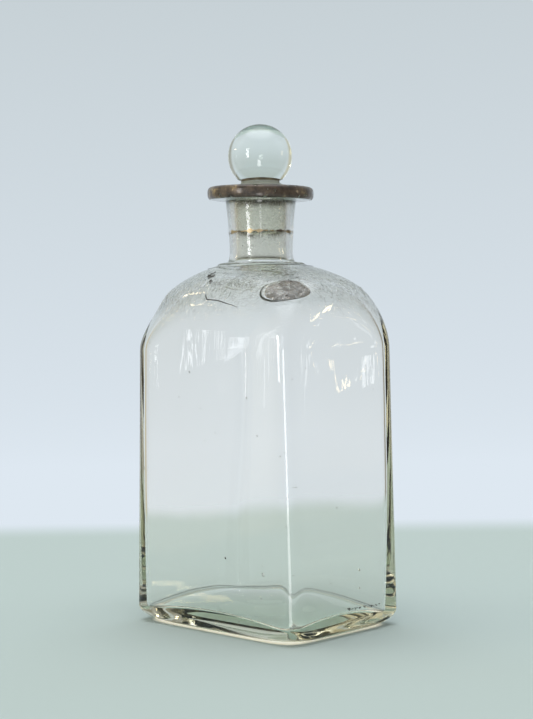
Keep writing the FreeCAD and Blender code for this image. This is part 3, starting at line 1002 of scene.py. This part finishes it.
def build_floor():
    corners = [(x * FLOOR_SIZE, y * FLOOR_SIZE, 0) for x, y in ((-1, -1), (1, -1), (1, 1), (-1, 1))]
    obj = make_object("studio_floor", corners, [(0, 1, 2, 3)], smooth_shading=False)
    material, tree = new_material("studio_floor")
    place = object_place(tree)
    split = turned(tree, place)
    outline = math_node(tree, "POWER", power_sum(tree, (split["X"], split["Y"]), TABLE_POWER),
                        1.0 / TABLE_POWER)
    edge = span(tree, outline, *TABLE_EDGE, 0.0, 1.0, interpolation_type="SMOOTHSTEP")
    # Beyond the table the plane takes the backdrop's colour, greyer with distance as it nears eye level.
    fade = ramp_of(tree, math_node(tree, "DIVIDE", EYE_HEIGHT, outline),
                   [(0.0, WALL_LEVEL), (0.14, WALL_LOW_COLOR), (1.0, WALL_LOW_COLOR)])
    reach = add(tree, "ShaderNodeVectorMath", operation="LENGTH")
    tree.links.new(place, reach.inputs[0])
    facing = backdrop_share(tree, split, reach.outputs["Value"])
    far = add(tree, "ShaderNodeEmission", Color=mix_colors(tree, facing, room_colors(tree, split), fade))
    # Painted pool of light: an emission under the base stands in for the light the glass gathers onto the
    # floor.
    under = add(tree, "ShaderNodeVectorMath", operation="MULTIPLY")
    under.inputs[1].default_value = (1 / (POOL_SHARE * HALF_X * MM), 1 / (POOL_SHARE * HALF_Y * MM), 0.0)
    tree.links.new(place, under.inputs[0])
    outward = power_sum(tree, split_xyz(tree, under.outputs[0])[:2], POOL_POWER)
    pool = math_node(tree, "MULTIPLY", span(tree, outward, 0.002, 0.146, 0.58, 1.0),
                     span(tree, outward, 0.38, 0.72, 1.0, 0.0))
    painted_pool_glow = add(tree, "ShaderNodeEmission", Strength=math_node(tree, "MULTIPLY", pool, GATHERED_STRENGTH),
               Color=ramp_of(tree, outward, [(0.10, GATHERED_MIDDLE), (0.33, GATHERED_LIGHT)]))
    near = add(tree, "ShaderNodeBsdfDiffuse", Color=FLOOR_COLOR)
    lit = add(tree, "ShaderNodeAddShader")
    tree.links.new(near.outputs[0], lit.inputs[0])
    tree.links.new(painted_pool_glow.outputs[0], lit.inputs[1])
    finish_material(tree, mix_shaders(tree, edge, lit, far))
    obj.data.materials.append(material)


def build_world():
    world = bpy.data.worlds.new("studio")
    bpy.context.scene.world = world
    world.use_nodes = True
    tree = world.node_tree
    tree.nodes.clear()
    split = turned(tree, add(tree, "ShaderNodeTexCoord").outputs["Generated"])
    # Up the backdrop: pale blue at the table, greyer above.
    wall = ramp_of(tree, span(tree, split["Z"], *WALL_RISE, 0.0, 1.0),
                   [(0.0, WALL_LOW_COLOR), (0.165, WALL_LEVEL), (0.51, WALL_HIGH_COLOR),
                    (0.62, WALL_HIGH_COLOR), (1.0, WALL_TOP_COLOR)])
    round_about = mix_colors(tree, backdrop_share(tree, split, 1.0), room_colors(tree, split), wall)
    ceiling = span(tree, split["Z"], *CEILING, 0.0, 1.0, interpolation_type="SMOOTHSTEP")
    light = add(tree, "ShaderNodeBackground", Color=mix_colors(tree, ceiling, round_about, OVERHEAD_LIGHT))
    add(tree, "ShaderNodeOutputWorld", Surface=light.outputs[0])


def window(name, bearing, elevation, distance, width, height, columns, rows, strength, color, lean=0.0):
    """Bright panes seen only in reflections and through glass. bearing is degrees from the view direction."""
    lean = math.radians(lean)
    angle = math.radians(bearing) - VIEW_AZIMUTH
    rise = math.radians(elevation)
    toward = Vector((math.sin(angle) * math.cos(rise), math.cos(angle) * math.cos(rise), math.sin(rise)))
    across = Vector((math.cos(angle), -math.sin(angle), 0.0))
    upright = across.cross(toward)
    across, upward = (across * math.cos(lean) + upright * math.sin(lean),
                      upright * math.cos(lean) - across * math.sin(lean))
    centre = toward * distance + Vector((0.0, 0.0, WINDOW_HEIGHT))
    pane_w, pane_h = width / columns, height / rows
    vertices, faces = [], []
    for column in range(columns):
        for level in range(rows):
            middle = (centre + across * ((column + 0.5) * pane_w - width / 2)
                      + upward * ((level + 0.5) * pane_h - height / 2))
            first = len(vertices)
            for side, end in ((-1, -1), (1, -1), (1, 1), (-1, 1)):
                vertices.append(middle + across * (side * PANE_HALVES[0] * pane_w)
                                + upward * (end * PANE_HALVES[1] * pane_h))
            faces.append((first, first + 1, first + 2, first + 3))
    obj = make_object(name, vertices, faces, smooth_shading=False)
    material, tree = new_material(name)
    finish_material(tree, add(tree, "ShaderNodeEmission", Color=(*color, 1.0), Strength=strength))
    obj.data.materials.append(material)
    obj.visible_camera = False
    obj.visible_diffuse = False
    obj.visible_shadow = False
    return obj


build_camera()
build_floor()
build_world()
GOLD = (1.0, 0.82, 0.52)
# Name, bearing, elevation, distance, width, height, columns, rows, strength, colour, lean.
for pane in (("window_behind_left", -135.0, 13.5, 0.62, 0.105, 0.32, 2, 3, 13.0, CLEAR),
             ("window_behind", -179.0, 1.0, 0.62, 0.060, 0.070, 1, 1, 5.0, CLEAR),
             ("window_left_a", -84.5, 3.9, 3.0, 0.008, 0.38, 1, 2, 5.0, CLEAR, -6.0),
             ("window_left_c", -86.6, 2.8, 3.0, 0.070, 0.28, 3, 2, 3.0, CLEAR),
             ("window_left_low", -95.9, -1.0, 0.60, 0.006, 0.040, 1, 1, 4.0, CLEAR),
             ("lamp_right_high", 94.0, 9.6, 3.0, 0.20, 0.46, 1, 1, 14.0, GOLD, 8.0),
             ("window_right_thin", 94.2, -0.5, 3.0, 0.010, 0.22, 1, 1, 3.0, CLEAR, 4.0),
             ("lamp_right_low", 90.8, -0.1, 3.0, 0.007, 0.156, 1, 1, 8.0, GOLD, -47.0),
             ("window_right_low", 88.8, -0.6, 3.0, 0.012, 0.094, 1, 1, 4.0, CLEAR, -26.0),
             ("lamp_left_high", -75.0, 20.0, 3.0, 0.55, 0.13, 1, 1, 13.0, GOLD)):
    window(*pane)
for strip in (("strip_front", -176.0, -21.0, 0.19, 0.048, 0.21, 1, 1, 8.0, CLEAR),
              ("strip_front_low", -178.0, -35.5, 0.12, 0.022, 0.055, 1, 1, 6.0, CLEAR)):
    window(*strip).visible_transmission = False

glass = glass_material("bottle_glass", TINT, TINT_DENSITY, 0.05, 0.022, worn=True)
seat = ground_material("ground_seat", TINT, TINT_DENSITY, 0.20, 0.32, 0.08, GROUND_WHITE,
                       foot=GROUND_FOOT * MM)
ground_lip = ground_material("ground_lip", TINT, TINT_DENSITY, 0.25, 0.40, 0.75, GROUND_GREEN)
worn_base = ground_material("worn_base", TINT, TINT_DENSITY, 0.30, 0.50, 0.72, WORN_WHITE)
bubble = glass_material("bubble_glass", TINT, 0.0, 0.02, 0.0)
ball_glass = glass_material("stopper_glass", (0.79, 0.86, 0.78, 1), 34.0, 0.03, 0.02,
                            shaded_crown=[(BALL_TOP - depth) * MM for depth in SHADED_CROWN_DEPTHS])
shank_ground = ground_material("ground_shank", (0.78, 0.87, 0.80, 1), 6.0, 0.09, 0.15, 0.0, GROUND_WHITE,
                               top=(LIP_TOP + 0.3) * MM)
lip_gold = gilding_material("worn_and_shaded_lip_gilding", 0.0)
neck_gold = gilding_material("worn_and_shaded_neck_gilding", 0.16)
dirt = dull_material("dirt", (0.012, 0.010, 0.008), (0.05, 0.04, 0.03), 900.0)
# Painted shade: dark matter for the lines round the blister, in the collar's creases and round the inside
# floor.
painted_edge_shade = dull_material("painted_edge_shade_lines", (0.035, 0.05, 0.045), (0.12, 0.14, 0.12), 500.0)
rubbing = dull_material("rubbing", (0.24, 0.28, 0.27), (0.86, 0.90, 0.88), 700.0)
band = dull_material("stopper_band", (0.16, 0.125, 0.075), (0.30, 0.25, 0.16), 300.0)
stain = dull_material("stain", (0.050, 0.036, 0.016), (0.25, 0.195, 0.115), 700.0, clear=0.04)


def place_piece(obj, body, materials, replaced=None):
    for material in materials:
        obj.data.materials.append(material)
    if replaced:
        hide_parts(replaced)
    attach(obj, body)


bottle, skin, meeting = build_bottle()
place_piece(bottle, "glass_body", [glass, seat, worn_base, ground_lip], "bottle")
place_piece(build_stopper(), "stopper", [ball_glass, shank_ground], "stopper")
place_piece(build_lip_film(), "glass_body", [lip_gold], "lip_gilding")
place_piece(build_neck_film(), "glass_body", [neck_gold], "neck_gilding")
blister, blister_stain, blister_rim = build_blister(skin)
place_piece(blister_rim, "glass_body", [painted_edge_shade])
place_piece(blister, "glass_body", [bubble])
place_piece(blister_stain, "glass_body", [stain])
place_piece(build_crease(skin), "glass_body", [painted_edge_shade])
place_piece(build_floor_line(meeting), "glass_body", [painted_edge_shade])
place_piece(build_stopper_band(), "stopper", [band])
marks, wear, seeds, grains = build_marks(skin)
place_piece(marks, "glass_body", [dirt])
place_piece(wear, "glass_body", [rubbing])
place_piece(seeds, "glass_body", [bubble])
place_piece(grains, "glass_body", [dirt])

scene = bpy.context.scene
scene.view_settings.view_transform = "Standard"
scene.cycles.max_bounces = 32
scene.cycles.transmission_bounces = 32
scene.cycles.glossy_bounces = 12
scene.cycles.transparent_max_bounces = 16
scene.cycles.use_denoising = True
scene.cycles.sample_clamp_indirect = 0.0
